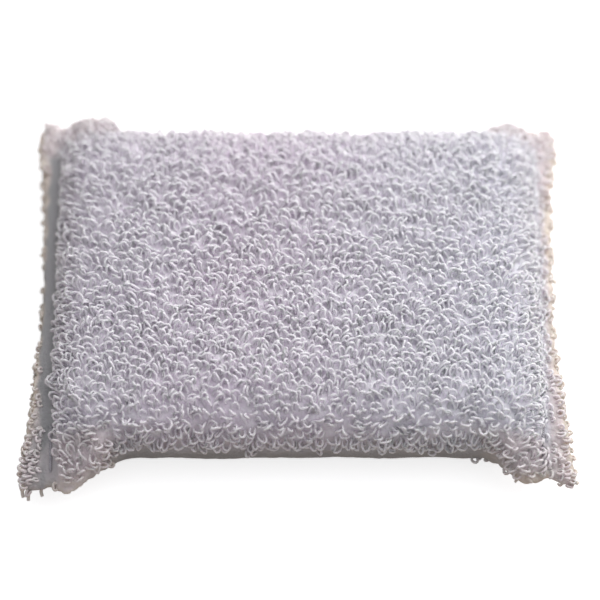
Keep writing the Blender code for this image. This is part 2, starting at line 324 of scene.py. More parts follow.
# Painted highlight on the loops' tops.
TIP_HIGHLIGHT_SHARE = 0.3
PAINTED_TIP_HIGHLIGHT = (0.90, 0.875, 0.93, 1.0)
COTTON_TINT = (1.0, 0.9, 1.0)  # how far each colour of light spreads inside, as a share of the scale
YARN_SURFACE = {"Roughness": 0.8, "Specular IOR Level": 0.2, "Sheen Weight": 0.05, "Sheen Roughness": 0.5,
                "Subsurface Weight": 0.8, "Subsurface Radius": COTTON_TINT, "Subsurface Scale": 1.0 * MM}


def set_surface(shader, values):
    for name, value in values.items():
        shader.inputs[name].default_value = value


def add_bump(tree, shader, height, depth, strength=1.0, invert=False):
    bump = add(tree, "ShaderNodeBump", {"invert": invert}, Strength=strength, Distance=depth, Height=height)
    tree.links.new(bump.outputs["Normal"], shader.inputs["Normal"])


def yarn_material():
    material, tree, shader = new_material("terry_loops")
    colour = terry_tint_with_painted_light(tree)
    # Painted shade at the feet, painted highlight on top.
    foot = mix_colour(tree, PAINTED_FEET_SHADE_SHARE, colour, PAINTED_FEET_SHADE_GREY)
    tip = mix_colour(tree, calc(tree, "MULTIPLY", attribute(tree, "tip_highlight"), TIP_HIGHLIGHT_SHARE), colour, PAINTED_TIP_HIGHLIGHT)
    tree.links.new(mix_colour(tree, attribute(tree, "yarn_top"), foot, tip), shader.inputs["Base Color"])
    ring = add(tree, "ShaderNodeSeparateXYZ", Vector=attribute(tree, "yarn_around", "Vector"))
    angle = calc(tree, "ARCTAN2", ring.outputs["Y"], ring.outputs["X"])
    turn = calc(tree, "MULTIPLY", attribute(tree, "yarn_along"), 2 * math.pi / PLY_LENGTH)
    ridges = calc(tree, "SINE", calc(tree, "ADD", calc(tree, "MULTIPLY", angle, PLIES), turn))
    add_bump(tree, shader, ridges, YARN_BUMP, YARN_BUMP_STRENGTH)
    set_surface(shader, YARN_SURFACE)
    return material


YARN = yarn_material()
print("yarn of", int(PLIES), "plies, a turn in mm:", PLY_LENGTH / MM)

# %% [markdown]
# The ground cloth shows between the loops as a fine weave, greyed a little as painted shade among the loops, and in
# the valleys along the seams as bare cloth with painted grey shade. The seam thread has a slanting twist of its own,
# and the two seams run along Y.

# %% Ground cloth and seam thread
WEAVE_SCALE = 1100
WEAVE_BUMP = 0.3 * MM
WEAVE_BUMP_STRENGTH = 0.8
# The cloth between the loops is greyed partly by its weave and partly as painted shade among the loops.
WEAVE_AND_GAP_SHADE_SHARE = 0.15
WEAVE_AND_GAP_SHADE_GREY = (0.35, 0.33, 0.37, 1.0)
# Painted grey shade for the cloth where shade falls.
PAINTED_SHADE_GREY = (0.38, 0.375, 0.385, 1.0)
GROUND_SURFACE = {"Roughness": 0.95, "Specular IOR Level": 0.2, "Subsurface Weight": 0.85,
                  "Subsurface Radius": COTTON_TINT, "Subsurface Scale": 2.0 * MM}
THREAD_TWIST = 0.6 * MM
THREAD_BUMP = 0.10 * MM
THREAD_SURFACE = {"Base Color": (0.50, 0.48, 0.52, 1.0), "Roughness": 0.8}


def ground_material():
    material, tree, shader = new_material("terry_ground")
    colour = terry_tint_with_painted_light(tree)
    # Partly weave, partly painted shade among the loops.
    darker = mix_colour(tree, WEAVE_AND_GAP_SHADE_SHARE, colour, WEAVE_AND_GAP_SHADE_GREY)
    weave = add(tree, "ShaderNodeTexVoronoi", Vector=own_place(tree), Scale=WEAVE_SCALE).outputs["Distance"]
    woven = mix_colour(tree, weave, colour, darker)
    # Greys the cloth by its stored share of painted shade.
    tree.links.new(mix_colour(tree, attribute(tree, "painted_shade"), woven, PAINTED_SHADE_GREY), shader.inputs["Base Color"])
    add_bump(tree, shader, weave, WEAVE_BUMP, WEAVE_BUMP_STRENGTH, invert=True)
    set_surface(shader, GROUND_SURFACE)
    return material


def thread_material():
    material, tree, shader = new_material("seam_thread")
    split = add(tree, "ShaderNodeSeparateXYZ", Vector=own_place(tree))
    slant = calc(tree, "ADD", split.outputs["Y"], split.outputs["X"])
    twist = calc(tree, "SINE", calc(tree, "MULTIPLY", slant, 2 * math.pi / THREAD_TWIST))
    add_bump(tree, shader, twist, THREAD_BUMP)
    set_surface(shader, THREAD_SURFACE)
    return material


GROUND = ground_material()
THREAD = thread_material()
for name in ("left_seam_thread", "right_seam_thread"):
    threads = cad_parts[name].data.materials
    threads.clear()
    threads.append(THREAD)
print("materials:", YARN.name, GROUND.name, THREAD.name)

# %% [markdown]
# ## The ground cloth
# The loops stand on a thin woven ground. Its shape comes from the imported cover. Remeshing gives it even faces and
# closes the sleeve's slits, and the inside of the pocket, which nobody sees, is dropped.

# %% Skin of the cover
VOXEL = 1.7 * MM
SAME_PLACE = 0.001 * MM
SOFTEN_FACTOR = 0.5
SOFTEN_TIMES = 5


def evaluated_mesh(piece, name):
    """The piece with its modifiers applied, as a plain mesh."""
    depsgraph = bpy.context.evaluated_depsgraph_get()
    mesh = bpy.data.meshes.new_from_object(piece.evaluated_get(depsgraph), depsgraph=depsgraph)
    mesh.name = name
    return mesh


def bake_modifiers(piece):
    """Replaces the piece's mesh by what its modifiers make of it."""
    mesh = evaluated_mesh(piece, piece.name)
    piece.modifiers.clear()
    piece.data = mesh


def cover_skin():
    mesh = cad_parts["terry_cover"].data.copy()
    bm = bmesh.new()
    bm.from_mesh(mesh)
    bmesh.ops.remove_doubles(bm, verts=bm.verts, dist=SAME_PLACE)
    bm.to_mesh(mesh)
    bm.free()
    skin = put_in_scene("terry_ground", mesh)
    remesh = skin.modifiers.new("even_faces", "REMESH")
    remesh.mode = "VOXEL"
    remesh.voxel_size = VOXEL
    smooth = skin.modifiers.new("soften", "SMOOTH")
    smooth.factor = SOFTEN_FACTOR
    smooth.iterations = SOFTEN_TIMES
    bake_modifiers(skin)
    return skin


def keep_outer_shell(skin):
    """Drops the pocket's inside, which the remesh has cut off from the outside."""
    bm = bmesh.new()
    bm.from_mesh(skin.data)
    left = set(bm.verts)
    shells = []
    while left:
        shell, edge = set(), [left.pop()]
        while edge:
            vert = edge.pop()
            shell.add(vert)
            near = [e.other_vert(vert) for e in vert.link_edges]
            fresh = [v for v in near if v in left]
            left.difference_update(fresh)
            edge += fresh
        shells.append(shell)
    outer = max(shells, key=lambda shell: max(v.co.x for v in shell))
    bmesh.ops.delete(bm, geom=[v for shell in shells if shell is not outer for v in shell], context="VERTS")
    bm.to_mesh(skin.data)
    bm.free()
    print("shells found:", len(shells), "and kept vertices:", len(skin.data.vertices))


ground = cover_skin()
keep_outer_shell(ground)

# %% [markdown]
# ## Where the loops stand
# The pile isn't the same all over, so the pad is divided into areas with soft borders. The left end's valley is wide
# and grey with painted shade, the right end's is narrow and half hidden. Low on the front the cloth is bare, with a
# crease above it, and so are the inner sides of the ears close to the floor. These functions work on whole arrays of
# points.

# %% Areas of the pad
LEFT_VALLEY = (-0.6 * MM, 4.1 * MM)  # from the seam outwards
LEFT_VALLEY_BLUR = 0.8 * MM
LEFT_VALLEY_END = (43 * MM, 47 * MM)  # towards the back
NARROWING = 1.6 * MM  # of the left valley, towards the front
NARROWING_START = (25 * MM, 42 * MM)
PALER_START = (38 * MM, 50 * MM)
RIGHT_VALLEY = (1.9 * MM, 3.6 * MM)
RIGHT_VALLEY_BLUR = 0.7 * MM
WAVE_DEPTH = 0.4 * MM  # of the valleys' edges
WAVE_LENGTH = 9 * MM
WAVE_SWAY = 1.7
FLANGE_START = (0.5 * MM, 3 * MM)
END_START = (-3 * MM, 0)
SEAM_BAND = (-1 * MM, 3 * MM)
SEAM_BLUR = 1 * MM
# Where the left flange's painted shade fades out towards the back.
SHADED_FLANGE_END = (-20 * MM, 30 * MM)
EAR_START = (FOAM_HIGH.y + 0.5 * MM, FOAM_HIGH.y + 4.5 * MM)
EAR_SIDE = (46 * MM, 52 * MM)
EAR_INSIDE = (56 * MM, 60 * MM)
EAR_HALF_HEIGHT = (10 * MM, 15 * MM)
FLAT_END = (39 * MM, 42 * MM)
FRONT_START = (34 * MM, 40 * MM)
BARE_HEIGHT = (11.5 * MM, 17.5 * MM)
FLOOR_SHADE_HEIGHT = (2 * MM, 15 * MM)
UNDER_SLOPE = (0.6, 0.9)
FLAT_SLOPE = (0.95, 0.99)
BELOW_SLOPE = (0.0, 0.4)
UPRIGHT_SLOPE = (0.45, 1.0)
CREASE_SLOPE = (0.45, 0.6)
CREASE_BLUR = 0.1
RIM_SLOPE = (0.2, 0.8)
EAR_RIM_SLOPE = (0.3, 0.9)


def smooth_step(values, low, high):
    """0 below the low value and 1 above the high one, with a soft rise between them."""
    share = np.clip((values - low) / (high - low), 0.0, 1.0)
    return share * share * (3 - 2 * share)


def band(values, edges, blur):
    """1 between the edges and 0 outside them, with a soft step at each."""
    rise = smooth_step(values, edges[0] - blur, edges[0] + blur)
    return rise * (1 - smooth_step(values, edges[1] - blur, edges[1] + blur))


def areas_of_pad(points, normals):
    """How much each point belongs to each area, from 0 to 1."""
    x, y, z = points.T
    away = np.abs(x) - SEAM_X
    wave = y * 2 * math.pi / WAVE_LENGTH
    wavy = away + WAVE_DEPTH * np.sin(wave + np.sin(wave / WAVE_SWAY))
    narrowed = wavy + NARROWING * smooth_step(-y, *NARROWING_START)
    up, down = normals[:, 2] > 0, -normals[:, 2]
    flange = smooth_step(away, *FLANGE_START)
    ear = smooth_step(np.abs(y), *EAR_START) * smooth_step(np.abs(x), *EAR_SIDE)
    low_ear = ear * (1 - flange) * (1 - smooth_step(z, *EAR_HALF_HEIGHT))
    inner = (1 - ear) * (1 - flange)
    under = smooth_step(down, *UNDER_SLOPE)
    flat = smooth_step(down, *FLAT_SLOPE) * (1 - smooth_step(np.abs(y), *FLAT_END))
    low = (1 - smooth_step(z, *BARE_HEIGHT)) * (1 - np.maximum(ear, flange)) * smooth_step(-y, *FRONT_START)
    left = band(narrowed, LEFT_VALLEY, LEFT_VALLEY_BLUR) * (x < 0) * (1 - smooth_step(y, *LEFT_VALLEY_END))
    rim = np.maximum(flange * smooth_step(np.abs(normals[:, 0]), *RIM_SLOPE),
                     low_ear * smooth_step(np.abs(normals[:, 1]), *EAR_RIM_SLOPE))
    upright = smooth_step(1 - np.abs(down), *UPRIGHT_SLOPE)
    return {
        "left_valley": left,
        "left_valley_front": left * smooth_step(-y, *PALER_START),
        "right_valley": band(wavy, RIGHT_VALLEY, RIGHT_VALLEY_BLUR) * (x > 0),
        "seam": band(away, SEAM_BAND, SEAM_BLUR),
        "end": smooth_step(away, *END_START),
        "flange": flange,
        # Painted shade on the left flange, which faces away from the lamps.
        "shaded_left_flange": flange * (1 - rim) * (x < 0) * (1 - smooth_step(y, *SHADED_FLANGE_END)),
        "ear": ear,
        "low_ear": low_ear,
        "left_low_ear": low_ear * (x < 0),
        "right_low_ear": low_ear * (x > 0),
        "ear_gap": low_ear * (1 - smooth_step(np.abs(x), *EAR_INSIDE)),
        "below": smooth_step(down, *BELOW_SLOPE) * np.maximum(ear, flange),
        "under": under,
        "low": low,
        "front_band": low * (1 - flat),
        "pressed": np.maximum(under, low),
        "near_floor": (1 - smooth_step(z, *FLOOR_SHADE_HEIGHT)) * (1 - flange),
        "crease": band(-normals[:, 1], CREASE_SLOPE, CREASE_BLUR) * up * inner,
        "rim": rim,
        "left_rim": rim * (x < 0),
        "right_rim": rim * (x > 0),
        "upright": upright,
        "upright_low_ear": upright * low_ear,
    }


print("the left valley reaches this far outside its seam, in mm:", round(LEFT_VALLEY[1] / MM, 1))

# %% [markdown]
# From the areas comes the plan of the pile: how many of the loops are there (none in the left valley, fewer where
# the pad lies on its pile, few under the ears and flanges), how tall and wide they stand, which way they lean and
# face, how high the lumps of the ground are, how much painted grey shade the cloth carries, how cream it is and how
# much painted beige reflection lies on its rims. Gravity pulls the loops on the sides down, and handling has combed
# the ones on the flanges outwards. The tables give each area's share of every effect.

# %% Plan of the pile
LOOPS_LOST = {"left_valley": 1.0, "right_valley": 0.4, "under": 0.3, "crease": 0.1, "front_band": 1.0, "below": 0.7,
              "ear_gap": 1.0, "left_low_ear": 0.55, "right_low_ear": 0.15, "rim": 0.5}
HEIGHT_LOST = {"seam": 0.4, "pressed": 0.55, "flange": 0.3, "low_ear": 0.5, "crease": 0.3, "below": 0.5,
               "left_rim": 0.65, "right_rim": 0.5}
LUMPS_LOST = {"left_valley": 1.0, "low": 0.8, "under": 1.0}
SAG = {"upright": 0.5, "upright_low_ear": 0.5, "flange": 0.3, "rim": 0.8}
# Each area's share of the painted grey shade on the ground cloth: valleys, left flange, crease, front band, ear gaps
# and near the floor.
PAINTED_SHADE_SHARES = {"left_valley": 1.0, "left_valley_front": -0.5, "right_valley": 0.3, "front_band": 0.8, "ear_gap": 0.5,
            "crease": 0.2, "shaded_left_flange": 0.6, "near_floor": 0.45}
SWELL = {"flange": 0.15, "low_ear": 0.25}
WIDTH_LOST = {"flange": 0.35}
COMBED_OUT = 1.7
TOP_LEAN = 0.3
FRONT_LEAN = 0.5
FRONT_LEAN_START = (10 * MM, 40 * MM)
LUMP_HEIGHT = 0.9 * MM
FLANGE_LUMP_HEIGHT = 1.6 * MM
EAR_LUMP_SHARE = 0.6
# How strongly the rims take the painted beige reflection, and the ears the cream tone.
RIM_REFLECTION_SHARE = 0.8
EAR_CREAM_SHARE = 0.7


def rest_after(area, losses):
    """What is left of 1 after each area has taken its share."""
    rest = 1.0
    for name, loss in losses.items():
        rest = rest * (1 - loss * area[name])
    return rest


def sum_over(area, amounts):
    return sum(amount * area[name] for name, amount in amounts.items())


def plan_pile(points, normals):
    """How the pile stands at each point, as an array for each attribute that the node tree reads."""
    area = areas_of_pad(points, normals)
    flange = area["flange"]
    lean = np.zeros_like(points)
    lean[:, 0] = np.sign(points[:, 0]) * flange * COMBED_OUT
    lean[:, 1] = TOP_LEAN + FRONT_LEAN * smooth_step(-points[:, 1], *FRONT_LEAN_START)
    lean[:, 1] *= np.maximum(normals[:, 2], 0) * (1 - flange)
    lean[:, 2] = -sum_over(area, SAG)
    facing = np.stack((1 - area["end"], area["end"], 0 * area["end"]), axis=1)
    lumpier = np.maximum(flange, EAR_LUMP_SHARE * area["low_ear"])
    lump = (LUMP_HEIGHT + (FLANGE_LUMP_HEIGHT - LUMP_HEIGHT) * lumpier) * rest_after(area, LUMPS_LOST)
    return {"pile_share": rest_after(area, LOOPS_LOST), "pile_height": rest_after(area, HEIGHT_LOST),
            "pile_width": rest_after(area, WIDTH_LOST), "pile_lean": lean, "pile_facing": facing,
            "yarn_swell": 1 + sum_over(area, SWELL), "lump": lump, "rim": RIM_REFLECTION_SHARE * area["rim"],
            "cream": np.maximum(flange, EAR_CREAM_SHARE * area["ear"]),
            "painted_shade": np.clip(sum_over(area, PAINTED_SHADE_SHARES), 0, 1)}


print("areas that cost loops:", ", ".join(LOOPS_LOST))

# %% [markdown]
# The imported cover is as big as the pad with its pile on, so the ground cloth lies a pile's depth further in. It lies
# less deep at the seams, where the cloth is sewn flat, and hardly deeper at all where no loops stand.

# %% Take off the depth of the pile
PILE_DEPTH = 1.5 * MM
BARE_DEPTH_SHARE = 0.2
SEWN_DEPTH_SHARE = 0.4
STANDING_SHARE = (0.1, 0.5)
LYING_SLOPE = -0.6
SEWN_WIDTH = (1 * MM, 4 * MM)
OUTSIDE_SEWN = (0, 3 * MM)
OUTSIDE_SEWN_LOSS = 0.8
RIM_DEPTH = (0.5 * MM, 2 * MM)
RIM_DEPTH_LOSS = 0.4


def read_points(mesh, kind="co"):
    values = np.empty(len(mesh.vertices) * 3, dtype=np.float32)
    mesh.vertices.foreach_get(kind, values)
    return values.reshape(-1, 3).astype(float)


def write_points(mesh, points):
    mesh.vertices.foreach_set("co", points.astype(np.float32).ravel())
    mesh.update()


def take_off_pile():
    points = read_points(ground.data)
    normals = read_points(ground.data, "normal")
    away = np.abs(points[:, 0]) - SEAM_X
    free = smooth_step(np.abs(away), *SEWN_WIDTH) * (1 - OUTSIDE_SEWN_LOSS * smooth_step(away, *OUTSIDE_SEWN))
    standing = smooth_step(plan_pile(points, normals)["pile_share"], *STANDING_SHARE)
    standing = np.where(normals[:, 2] < LYING_SLOPE, 1.0, standing)
    depth = PILE_DEPTH * (BARE_DEPTH_SHARE + (1 - BARE_DEPTH_SHARE) * standing)
    depth *= SEWN_DEPTH_SHARE + (1 - SEWN_DEPTH_SHARE) * free
    depth *= 1 - RIM_DEPTH_LOSS * smooth_step(away, *RIM_DEPTH)
    write_points(ground.data, points - normals * depth[:, None])
    print("the ground lies in by up to", round(float(depth.max()) / MM, 2), "mm")


take_off_pile()

# %% [markdown]
# A cloth simulation with a little air pressure puffs the ground up between the seams. Its ends and the face it rests
# on are held still, and no point may move further than the cap.

# %% Puff up the cloth
PUFF_PRESSURE = 3.0
PUFF_CAP = 1.6 * MM
NO_REACH = 1e-9  # keeps the division safe where nothing moved
PUFF_FRAMES = 14
PUFF_QUALITY = 5
CLOTH_MASS = 0.2
CLOTH_STIFFNESS = 20
CLOTH_BENDING = 2
HELD_HEIGHT = (2.6 * MM, 4.6 * MM)
HELD_SIDE = (SEAM_X - 5 * MM, SEAM_X - 2 * MM)


def puff_up():
    points = read_points(ground.data)
    held = smooth_step(np.abs(points[:, 0]), *HELD_SIDE)
    held = np.maximum(held, 1 - smooth_step(points[:, 2], *HELD_HEIGHT))
    group = ground.vertex_groups.new(name="held")
    for index, weight in enumerate(held):
        if weight > 0:
            group.add([index], float(weight), "REPLACE")
    cloth = ground.modifiers.new("puff", "CLOTH")
    cloth.settings.quality = PUFF_QUALITY
    cloth.settings.mass = CLOTH_MASS
    cloth.settings.tension_stiffness = CLOTH_STIFFNESS
    cloth.settings.compression_stiffness = CLOTH_STIFFNESS
    cloth.settings.bending_stiffness = CLOTH_BENDING
    cloth.settings.use_pressure = True
    cloth.settings.uniform_pressure_force = PUFF_PRESSURE
    cloth.settings.vertex_group_mass = "held"
    cloth.settings.effector_weights.gravity = 0
    cloth.point_cache.frame_start = 1
    cloth.point_cache.frame_end = PUFF_FRAMES
    for step in range(1, PUFF_FRAMES + 1):
        scene.frame_set(step)
    bake_modifiers(ground)
    shift = read_points(ground.data) - points
    reach = np.linalg.norm(shift, axis=1)
    allowed = np.minimum(1.0, PUFF_CAP / np.maximum(reach, NO_REACH))
    write_points(ground.data, points + shift * allowed[:, None])
    scene.frame_set(1)
    print("the cloth moved by up to", round(float(reach.max()) / MM, 2), "mm before the cap")


puff_up()

# %% [markdown]
# One round of subdivision makes the cloth smooth enough to be seen between the loops.

# %% Finer faces
ground.vertex_groups.clear()
finer = ground.modifiers.new("finer", "SUBSURF")
finer.levels = finer.render_levels = 1
bake_modifiers(ground)
ground.data.materials.clear()
ground.data.materials.append(GROUND)
ground.data.shade_smooth()
print("ground cloth faces:", len(ground.data.polygons))

# %% [markdown]
# The plan is now worked out again for the finished ground, and stored on it as attributes for the materials and the
# tree of loops.

# %% Pile attributes


def store(mesh, name, values, kind, domain="POINT"):
    layer = mesh.attributes.new(name, kind, domain)
    field = "vector" if kind == "FLOAT_VECTOR" else "value"
    layer.data.foreach_set(field, np.ascontiguousarray(values).ravel())


for name, values in plan_pile(read_points(ground.data), read_points(ground.data, "normal")).items():
    store(ground.data, name, values.astype(np.float32), "FLOAT_VECTOR" if values.ndim == 2 else "FLOAT")
print("attributes on the ground cloth:", [layer.name for layer in ground.data.attributes])

# %% [markdown]
# The rows of loops crowd together into soft lumps, which give the rims their scalloped outline. So the ground gets a
# dome over every cell of a cell noise, low on the cushion and high on the flanges, where the cells run outwards.

# %% Lumps
LUMP_SIZE = 2.6 * MM
FLANGE_CELL_SQUEEZE = 0.5


def raise_lumps(mesh):
    points = read_points(mesh)
    normals = read_points(mesh, "normal")
    height = np.empty(len(points), dtype=np.float32)
    mesh.attributes["lump"].data.foreach_get("value", height)
    stretched = points / LUMP_SIZE
    stretched[:, 0] *= np.where(np.abs(points[:, 0]) > SEAM_X, FLANGE_CELL_SQUEEZE, 1.0)
    near = np.array([noise.voronoi(Vector(place))[0][0] for place in stretched])
    dome = 1 - np.minimum(near, 1.0) ** 2
    write_points(mesh, points + normals * (height * (dome - 0.5))[:, None])


raise_lumps(ground.data)
print("cells of the lumps in mm:", LUMP_SIZE / MM)

# %% [markdown]
# The pile is grown in nine patches, so that no single piece gets too heavy. Every face of the ground is told which
# patch it belongs to.

# %% Patches of pile
PATCHES = ("top_left", "top_middle", "top_right", "underside_left", "underside_right", "front_side", "back_side",
           "left_end", "right_end")
TOP_THIRD = COVER_HIGH.x / 3
END_WIDTH = 6 * MM  # inside the seam
LEVEL_SLOPE = 0.55


def patch_of(centre, normal):
    if abs(centre.x) > SEAM_X - END_WIDTH:
        return "left_end" if centre.x < 0 else "right_end"
    if normal.z > LEVEL_SLOPE:
        return "top_middle" if abs(centre.x) < TOP_THIRD else "top_left" if centre.x < 0 else "top_right"
    if normal.z < -LEVEL_SLOPE:
        return "underside_left" if centre.x < 0 else "underside_right"
    return "front_side" if centre.y < 0 else "back_side"


patches = [PATCHES.index(patch_of(face.center, face.normal)) for face in ground.data.polygons]
store(ground.data, "pile_patch", np.array(patches, dtype=np.int32), "INT", "FACE")
print("faces in each patch:", {name: patches.count(i) for i, name in enumerate(PATCHES)})

# %% [markdown]
# ## The loops
# One node tree grows every patch of pile. It scatters points on the patch at an even but unruly spacing, sets a
# hoop of curve on each, turns and leans it, curls it with noise so that no two are alike, and sweeps a thin round
# section along it. Each loop has only 68 triangles, because there are thousands of them.

# %% The tree's inputs
LOOP_INPUTS = (
    ("Patch", "NodeSocketInt", 0),
    ("Seed", "NodeSocketInt", 1),
    ("Spacing", "NodeSocketFloat", 1.3 * MM),
    ("Loop Width", "NodeSocketFloat", 2.4 * MM),
    ("Loop Height", "NodeSocketFloat", 3.3 * MM),
    ("Yarn Radius", "NodeSocketFloat", 0.36 * MM),
    ("Lean", "NodeSocketFloat", 0.45),
    ("Curl", "NodeSocketFloat", 1.5 * MM),
    ("Yarn", "NodeSocketMaterial", None),
)


def start_tree(name, inputs):
    tree = bpy.data.node_groups.new(name, "GeometryNodeTree")
    tree.interface.new_socket("Geometry", in_out="INPUT", socket_type="NodeSocketGeometry")
    tree.interface.new_socket("Geometry", in_out="OUTPUT", socket_type="NodeSocketGeometry")
    for label, kind, default in inputs:
        socket = tree.interface.new_socket(label, in_out="INPUT", socket_type=kind)
        if default is not None:
            socket.default_value = default
    return tree, tree.nodes.new("NodeGroupInput").outputs, tree.nodes.new("NodeGroupOutput").inputs


def vector_calc(tree, operation, first, second=None, scale=None):
    node = add(tree, "ShaderNodeVectorMath", {"operation": operation})
    for socket, value in zip(node.inputs, (first, second)):
        feed(tree, socket, value)
    if scale is not None:
        feed(tree, node.inputs["Scale"], scale)  # the input is only there when the operation is SCALE
    return node.outputs["Vector"]


def combine(tree, x=0.0, y=0.0, z=0.0):
    return out(add(tree, "ShaderNodeCombineXYZ", X=x, Y=y, Z=z))


def random(tree, low, high, seed):
    return out(add(tree, "FunctionNodeRandomValue", {"data_type": "FLOAT"}, Min=low, Max=high, Seed=seed))


def named(tree, name, kind="FLOAT"):
    return out(add(tree, "GeometryNodeInputNamedAttribute", {"data_type": kind}, Name=name))


def stored(tree, geometry, name, value, kind="FLOAT"):
    settings = {"data_type": kind, "domain": "POINT"}
    return out(add(tree, "GeometryNodeStoreNamedAttribute", settings, Geometry=geometry, Name=name, Value=value))


def moved(tree, geometry, **values):
    return out(add(tree, "GeometryNodeSetPosition", Geometry=geometry, **values))


print("inputs of the loop tree:", ", ".join(label for label, kind, default in LOOP_INPUTS))

# %% [markdown]
# The first half of the tree plants the hoops. A hoop is an arc of more than a half turn, so the loop is wider above
# than at its feet. Every random value has a seed of its own, so each run gives the same pad.

# %% Plant the hoops
SPACING_TO_DENSITY = 3.0  # points asked for in each square of the spacing, so many that the spacing decides
LOOP_POINTS = 9
HOOP_START = math.radians(-50)
HOOP_SWEEP = math.radians(280)
HOOP_TWIST = 1.1
WIDTH_SHARE = (0.28, 0.52)
HEIGHT_SHARE = (0.36, 0.56)
LEAN_ASIDE = (-1.0, 1.0)
TURN_ASIDE = (-0.8, 0.8)
TURN_UP = (-0.5, 0.5)
FEET_APART = (-1.0, 1.0)  # as a share of the width
LOOP_NUMBERS = 100.0


def scatter_points(tree, given):
    """Points on the patch, and the ground's normal there."""
    chosen = add(tree, "FunctionNodeCompare", {"data_type": "INT", "operation": "EQUAL"})
    numbers = [s for s in chosen.inputs if s.enabled]
    tree.links.new(named(tree, "pile_patch", "INT"), numbers[0])
    tree.links.new(given["Patch"], numbers[1])
    density = calc(tree, "DIVIDE", SPACING_TO_DENSITY, calc(tree, "MULTIPLY", given["Spacing"], given["Spacing"]))
    return add(tree, "GeometryNodeDistributePointsOnFaces", {"distribute_method": "POISSON"},
               Mesh=given["Geometry"], Selection=out(chosen), Distance_Min=given["Spacing"],
               Density_Max=density, Density_Factor=named(tree, "pile_share"), Seed=given["Seed"])


def hoop(tree):
    """One loop's curve, a metre across, standing in the XZ plane with its opening down and its feet apart in Y."""
    arc = add(tree, "GeometryNodeCurveArc", {"mode": "RADIUS"}, Resolution=LOOP_POINTS, Radius=1.0,
              Start_Angle=HOOP_START, Sweep_Angle=HOOP_SWEEP)
    place = add(tree, "ShaderNodeSeparateXYZ", Vector=out(add(tree, "GeometryNodeInputPosition")))
    along = out(add(tree, "GeometryNodeSplineParameter"), "Factor")
    twist = calc(tree, "MULTIPLY", calc(tree, "SUBTRACT", along, 0.5), HOOP_TWIST)
    foot = math.sin(HOOP_START)
    stand = combine(tree, out(place, "X"), twist, calc(tree, "ADD", out(place, "Y"), -foot))
    return moved(tree, out(arc), Position=stand)


def loop_rotation(tree, given, normal):
    """Leans each loop off the ground's normal, then turns it so that most loops face the front or the back."""
    aside = combine(tree, *(random(tree, *LEAN_ASIDE, seed) for seed in (11, 12, 13)))
    lean = vector_calc(tree, "SCALE", aside, scale=given["Lean"])
    lean = vector_calc(tree, "ADD", lean, named(tree, "pile_lean", "FLOAT_VECTOR"))
    upright = vector_calc(tree, "NORMALIZE", vector_calc(tree, "ADD", normal, lean))
    standing = add(tree, "FunctionNodeAlignRotationToVector", {"axis": "Z"}, Vector=upright)
    turn = combine(tree, random(tree, *TURN_ASIDE, 14), random(tree, *TURN_ASIDE, 15), random(tree, *TURN_UP, 16))
    facing = vector_calc(tree, "ADD", named(tree, "pile_facing", "FLOAT_VECTOR"), turn)
    return out(add(tree, "FunctionNodeAlignRotationToVector", {"axis": "X", "pivot_axis": "Z"},
                   Rotation=out(standing), Vector=facing))


def loop_scale(tree, given):
    width = calc(tree, "MULTIPLY", given["Loop Width"], random(tree, *WIDTH_SHARE, 17))
    width = calc(tree, "MULTIPLY", width, named(tree, "pile_width"))
    height = calc(tree, "MULTIPLY", given["Loop Height"], random(tree, *HEIGHT_SHARE, 18))
    height = calc(tree, "MULTIPLY", height, named(tree, "pile_height"))
    return combine(tree, width, calc(tree, "MULTIPLY", width, random(tree, *FEET_APART, 19)), height)


def plant_hoops(tree, given):
    points = scatter_points(tree, given)
    # Each loop's random share of the painted highlight on its top.
    planted = stored(tree, out(points), "tip_highlight", random(tree, 0.0, 1.0, 20))
    planted = stored(tree, planted, "loop_number", random(tree, 0.0, LOOP_NUMBERS, 21))
    loops = add(tree, "GeometryNodeInstanceOnPoints", Points=planted, Instance=hoop(tree),
                Rotation=loop_rotation(tree, given, out(points, "Normal")), Scale=loop_scale(tree, given))
    return out(add(tree, "GeometryNodeRealizeInstances", Geometry=out(loops)))


tree, given, result = start_tree("grow_loops", LOOP_INPUTS)
curves = plant_hoops(tree, given)
print("nodes so far:", len(tree.nodes))

# %% [markdown]
# The second half of the tree bends the hoops by noise, keeps them off the floor and makes yarn of them.

# %% Curl them and sweep the yarn
YARN_SIDES = 4
CURL_SCALE = 260.0
CURL_APART = 1.7  # so that no two loops read the noise along the same line
CURL_GAIN = 2.0
NOISE_MIDDLE = (0.5, 0.5, 0.5)


def bulge(tree, along):
    """0 at both feet of a loop and 1 at its top."""
    return calc(tree, "SINE", calc(tree, "MULTIPLY", along, math.pi))


def curl(tree, given, curves):
    """Bends each loop by noise of its own, least at its feet."""
    along = out(add(tree, "GeometryNodeSplineParameter"), "Factor")
    place = out(add(tree, "GeometryNodeInputPosition"))
    number = named(tree, "loop_number")
    place = vector_calc(tree, "ADD", place, combine(tree, number, calc(tree, "MULTIPLY", number, CURL_APART), 0.0))
    wave = add(tree, "ShaderNodeTexNoise", {"noise_dimensions": "3D"}, Vector=place, Scale=CURL_SCALE, Detail=1.0)
    push = vector_calc(tree, "SUBTRACT", out(wave, "Color"), NOISE_MIDDLE)
    reach = calc(tree, "MULTIPLY", calc(tree, "MULTIPLY", given["Curl"], CURL_GAIN), named(tree, "pile_height"))
    push = vector_calc(tree, "SCALE", push, scale=calc(tree, "MULTIPLY", bulge(tree, along), reach))
    return moved(tree, curves, Offset=push)


def keep_off_floor(tree, given, curves):
    """Lifts what would reach below the floor, as the pad's own weight presses its pile flat."""
    place = add(tree, "ShaderNodeSeparateXYZ", Vector=out(add(tree, "GeometryNodeInputPosition")))
    lifted = calc(tree, "MAXIMUM", out(place, "Z"), given["Yarn Radius"])
    return moved(tree, curves, Position=combine(tree, out(place, "X"), out(place, "Y"), lifted))


